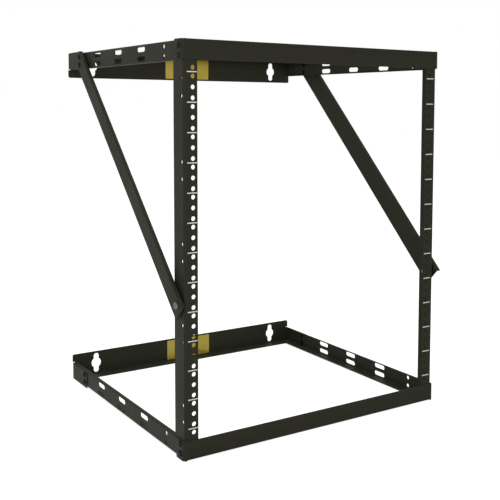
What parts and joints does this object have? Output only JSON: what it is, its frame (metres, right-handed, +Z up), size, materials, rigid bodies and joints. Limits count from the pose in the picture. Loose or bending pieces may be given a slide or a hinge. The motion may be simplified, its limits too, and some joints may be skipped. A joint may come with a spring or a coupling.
{
  "type": "two post open frame rack",
  "caption": "Open equipment rack of folded sheet steel: punched posts between a bottom and a top frame, held square by diagonal braces.",
  "frame": {"origin": "bottom centre of the bounding box", "axes": "+Z up, -Y to the front where equipment goes in, +X to the right seen from the front"},
  "size_m": [0.518, 0.4868, 0.6294],
  "materials": {
    "powder_coat": "black powder coat, fine texture, low gloss"
  },
  "bodies": {
    "root": {"front_bottom_rail": "powder_coat", "rear_bottom_rail": "powder_coat", "left_bottom_side_rail": "powder_coat", "right_bottom_side_rail": "powder_coat", "front_top_rail": "powder_coat", "rear_top_rail": "powder_coat", "left_top_side_rail": "powder_coat", "right_top_side_rail": "powder_coat", "left_post": "powder_coat", "right_post": "powder_coat", "left_brace": "powder_coat", "right_brace": "powder_coat"}
  },
  "joints": []
}
